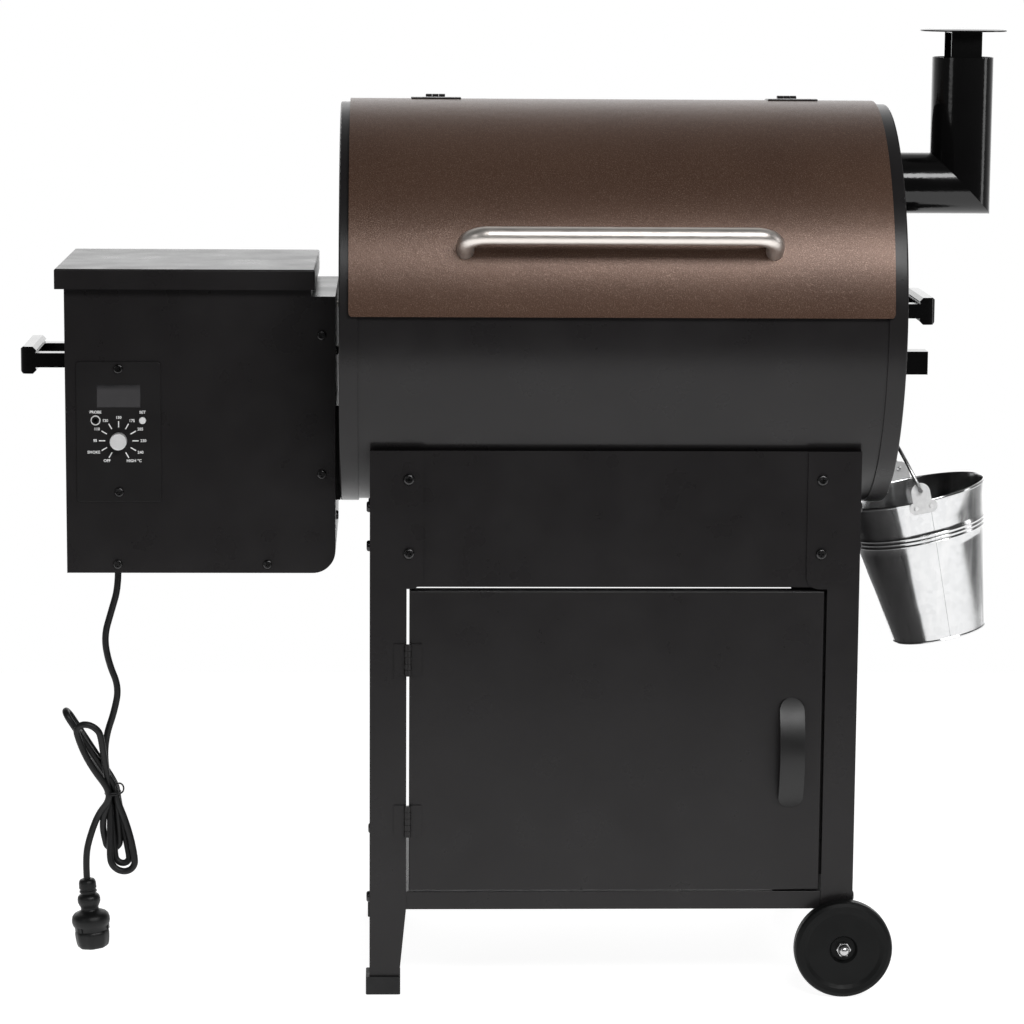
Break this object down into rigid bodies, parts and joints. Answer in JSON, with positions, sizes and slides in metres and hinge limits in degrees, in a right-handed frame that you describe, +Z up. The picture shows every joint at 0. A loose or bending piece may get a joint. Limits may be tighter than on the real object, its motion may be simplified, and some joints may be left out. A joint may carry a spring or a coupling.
{
  "type": "electric pellet smoker",
  "caption": "Horizontal-barrel wood-pellet smoker on a cabinet cart, with side hopper and controller, hinged lid and door, chimney and hanging grease bucket.",
  "frame": {"origin": "on the floor, under the centre of the smoker's bounding box without its mains cord", "axes": "+X to the right seen from the front (chimney side), +Y to the back, +Z up"},
  "size_m": [1.091, 0.4774, 1.0555],
  "materials": {
    "black_powder_coat": "satin powder coat",
    "bronze_enamel": "hammered metallic enamel",
    "gloss_black": "gloss enamel",
    "stainless": "satin",
    "zinc_steel": "zinc plated",
    "galvanised": "bright galvanised",
    "grate_enamel": "porcelain enamel",
    "bare_steel": "mill finish",
    "black_plastic": "fine texture",
    "tyre_plastic": "smooth moulded",
    "controller_black": "satin",
    "display": "gloss",
    "spun_aluminium": "turned",
    "chrome_trim": "polished",
    "cord_rubber": "matt"
  },
  "bodies": {
    "smoker": {"barrel_shell": "black_powder_coat", "barrel_end_left": "black_powder_coat", "barrel_end_right": "black_powder_coat", "cooking_grates": "grate_enamel", "drip_tray": "bare_steel", "fire_pot": "bare_steel", "igniter_rod": "stainless", "heat_baffle": "bare_steel", "temperature_probe": "stainless", "grease_spout": "gloss_black", "fixed_hinge_leaves": "black_powder_coat", "hinge_pins": "zinc_steel", "chimney_inlet": "gloss_black", "chimney_stack": "gloss_black", "chimney_cap": "gloss_black", "chimney_cap_strap": "gloss_black", "hopper_housing": "black_powder_coat", "hopper_front_panel": "black_powder_coat", "hopper_screws": "black_powder_coat", "pellet_bin": "bare_steel", "pellet_guard": "bare_steel", "auger_tube": "bare_steel", "auger_motor": "bare_steel", "fan_housing": "bare_steel", "fan_motor": "black_plastic", "control_plate": "controller_black", "control_board_box": "black_plastic", "display_window": "display", "probe_jack": "chrome_trim", "side_handles": "gloss_black", "front_legs": "black_powder_coat", "rear_legs": "black_powder_coat", "front_apron": "black_powder_coat", "rear_apron": "black_powder_coat", "side_aprons": "black_powder_coat", "shelf": "black_powder_coat", "cart_bolts": "black_powder_coat", "foot_caps": "black_plastic", "door_catch": "black_plastic", "axle": "zinc_steel", "cable_gland": "cord_rubber", "cord": "cord_rubber", "cord_hank": "cord_rubber", "plug": "cord_rubber"},
    "lid": {"lid": "bronze_enamel", "lid_hinge_leaves": "black_powder_coat", "lid_handle": "stainless", "lid_handle_screws": "zinc_steel"},
    "hopper_lid": {"hopper_lid": "black_powder_coat"},
    "door": {"door": "black_powder_coat", "door_hinge_leaves": "black_powder_coat", "door_handle": "gloss_black"},
    "wheel_front": {"wheel_front": "tyre_plastic"},
    "wheel_rear": {"wheel_rear": "tyre_plastic"},
    "dial": {"temperature_knob": "spun_aluminium"},
    "set_button": {"set_button": "chrome_trim"},
    "feed_screw": {"auger_screw": "bare_steel"},
    "fan": {"fan_impeller": "black_plastic"},
    "bail": {"bucket_bail": "zinc_steel"},
    "bucket": {"bucket": "galvanised"}
  },
  "joints": [
    {"name": "lid_hinge", "type": "hinge", "parent": "smoker", "child": "lid", "pos_m": [0.11, 0.07654, 0.97113], "axis": [-1, 0, 0], "range_deg": [0, 115]},
    {"name": "hopper_lid_hinge", "type": "hinge", "parent": "smoker", "child": "hopper_lid", "pos_m": [-0.361, 0.16075, 0.775], "axis": [-1, 0, 0], "range_deg": [0, 100]},
    {"name": "door_hinge", "type": "hinge", "parent": "smoker", "child": "door", "pos_m": [-0.1185, -0.16225, 0.285], "axis": [0, 0, -1], "range_deg": [0, 150]},
    {"name": "wheel_front_spin", "type": "hinge", "parent": "smoker", "child": "wheel_front", "pos_m": [0.361, -0.16975, 0.054], "axis": [0, 1, 0], "continuous": true},
    {"name": "wheel_rear_spin", "type": "hinge", "parent": "smoker", "child": "wheel_rear", "pos_m": [0.361, 0.20325, 0.054], "axis": [0, 1, 0], "continuous": true},
    {"name": "dial_turn", "type": "hinge", "parent": "smoker", "child": "dial", "pos_m": [-0.434, -0.09925, 0.6055], "axis": [0, 1, 0], "range_deg": [0, 300]},
    {"name": "button_press", "type": "slide", "parent": "smoker", "child": "set_button", "axis": [0, 1, 0], "range_m": [0, 0.0012], "stiffness_N_per_m": 400},
    {"name": "feed_screw_turn", "type": "hinge", "parent": "smoker", "child": "feed_screw", "pos_m": [-0.2, 0.01675, 0.59], "axis": [1, 0, 0], "continuous": true},
    {"name": "fan_spin", "type": "hinge", "parent": "smoker", "child": "fan", "pos_m": [-0.42, 0.06575, 0.522], "axis": [0, 1, 0], "continuous": true},
    {"name": "bail_swing", "type": "hinge", "parent": "smoker", "child": "bail", "pos_m": [0.4176, 0.01675, 0.612], "axis": [0, -1, 0], "range_deg": [0, 40]},
    {"name": "bucket_tilt", "type": "hinge", "parent": "bail", "child": "bucket", "pos_m": [0.4494, 0.01675, 0.54832], "axis": [0, -1, 0], "range_deg": [0, 40]}
  ]
}
